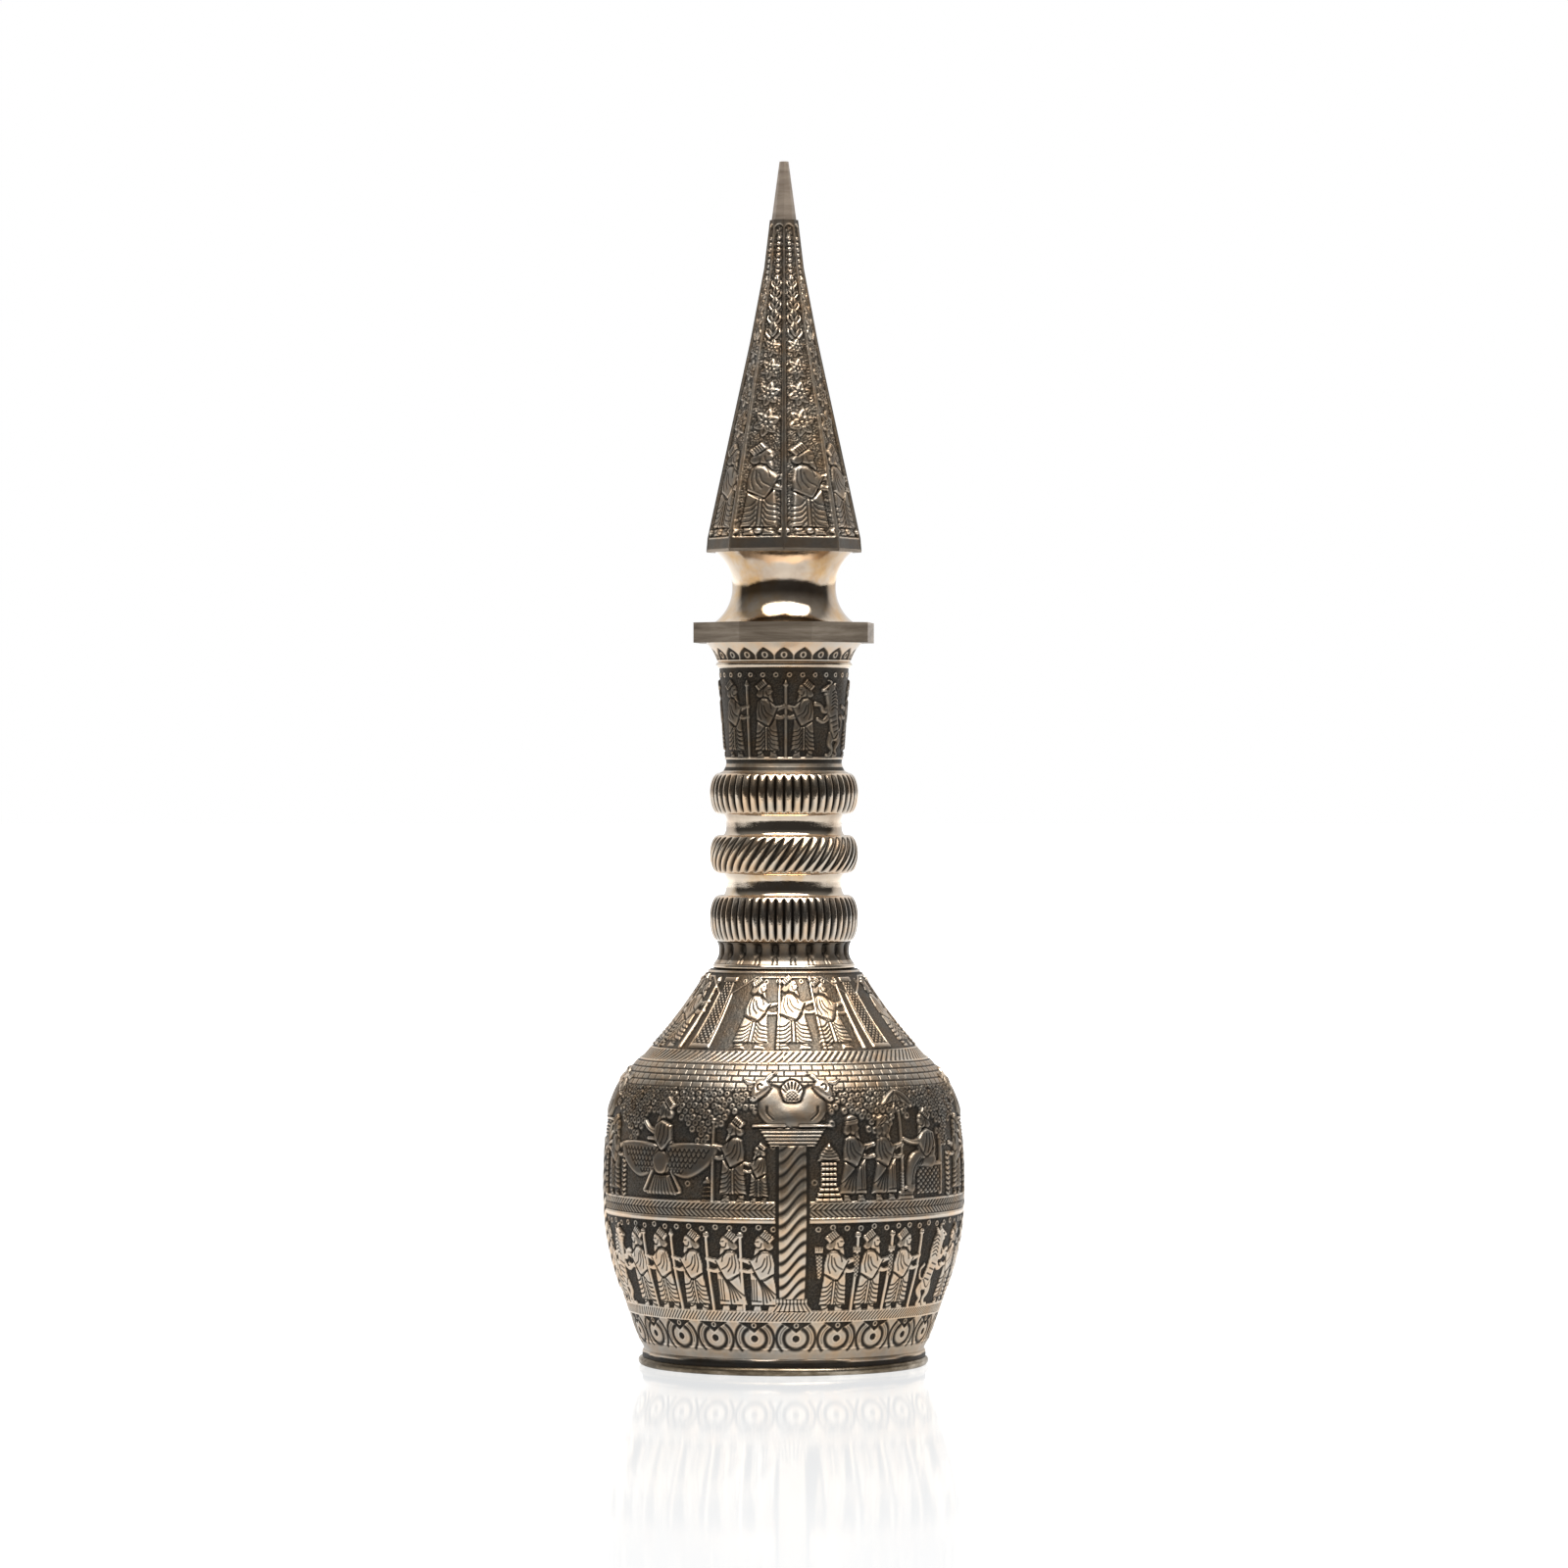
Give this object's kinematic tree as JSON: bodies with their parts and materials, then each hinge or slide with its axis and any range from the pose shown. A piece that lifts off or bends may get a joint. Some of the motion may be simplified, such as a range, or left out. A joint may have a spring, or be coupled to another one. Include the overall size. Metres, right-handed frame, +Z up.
{
  "type": "stoppered metal bottle",
  "caption": "Round chased silver bottle with a stacked ring neck and an eight-sided spire stopper that lifts out.",
  "frame": {"origin": "centre of the foot's underside", "axes": "+Z up along the bottle's axis, towards the spire; -Y faces the viewer who sees an edge of the spire"},
  "size_m": [0.1192, 0.1192, 0.4],
  "materials": {
    "chased_silver": "satin with dark recesses",
    "polished_silver": "polished",
    "plain_silver": "satin"
  },
  "bodies": {
    "bottle": {"base_plate": "plain_silver", "bowl": "chased_silver", "shoulder": "chased_silver", "shoulder_bead": "plain_silver", "collar": "chased_silver", "lower_ring": "chased_silver", "lower_link": "polished_silver", "middle_ring": "chased_silver", "upper_link": "polished_silver", "upper_ring": "chased_silver", "neck_tube": "chased_silver", "neck_bead": "plain_silver", "mouth_flare": "chased_silver", "throat_sleeve": "plain_silver"},
    "stopper": {"plug_tube": "plain_silver", "plug_cap": "plain_silver", "flange_bottom_plate": "plain_silver", "flange_rim": "plain_silver", "flange_top_plate": "plain_silver", "spool": "polished_silver", "spire_base_plate": "plain_silver", "spire_base_band": "plain_silver", "spire_shell": "chased_silver", "spire_tip": "plain_silver"}
  },
  "joints": [
    {"name": "stopper_lift", "type": "slide", "parent": "bottle", "child": "stopper", "axis": [0, 0, 1], "range_m": [0, 0.06]}
  ]
}
